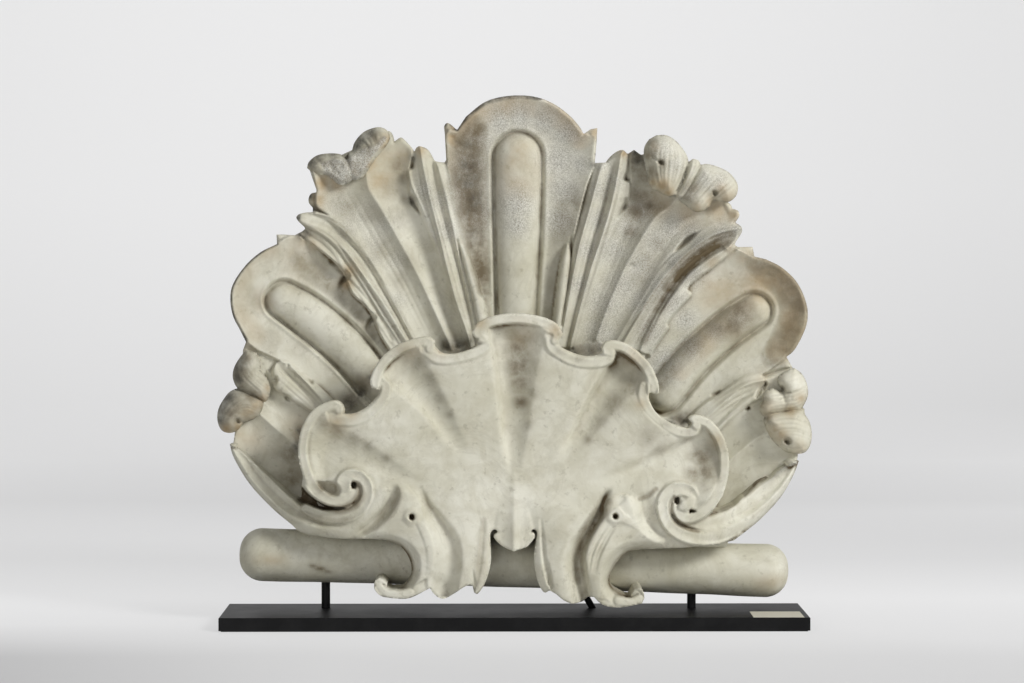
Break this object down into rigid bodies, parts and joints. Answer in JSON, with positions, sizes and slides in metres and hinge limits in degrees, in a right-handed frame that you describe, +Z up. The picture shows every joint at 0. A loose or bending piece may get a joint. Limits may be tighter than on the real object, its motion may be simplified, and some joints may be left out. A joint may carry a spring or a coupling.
{
  "type": "holy water stoup",
  "caption": "Fan-shaped carved marble stoup: gadrooned lobes and leaves over a scalloped basin on a round roll, held on a flat steel stand.",
  "frame": {"origin": "centre of the stand's felt underside, on the surface it stands on", "axes": "+X to the viewer's right, -Y is the carved face, +Y the flat back, +Z up"},
  "size_m": [0.8828, 0.159, 0.7837],
  "materials": {
    "marble": "satin",
    "black_steel": "satin",
    "screw_steel": "satin",
    "felt": "matte",
    "card": "matte"
  },
  "bodies": {
    "stand": {"base_plate": "black_steel", "left_pin": "black_steel", "right_pin": "black_steel", "support_prop": "black_steel", "pin_screws": "screw_steel", "base_felt": "felt", "label_card": "card"},
    "carving": {"base_roll": "marble", "back_shell": "marble", "basin_shell": "marble", "left_bracket": "marble", "right_bracket": "marble", "upper_left_curl": "marble", "upper_right_curl": "marble", "left_curl": "marble", "right_curl": "marble"}
  },
  "joints": [
    {"name": "carving_lift", "type": "slide", "parent": "stand", "child": "carving", "axis": [0, 0, 1], "range_m": [0, 0.06]}
  ]
}
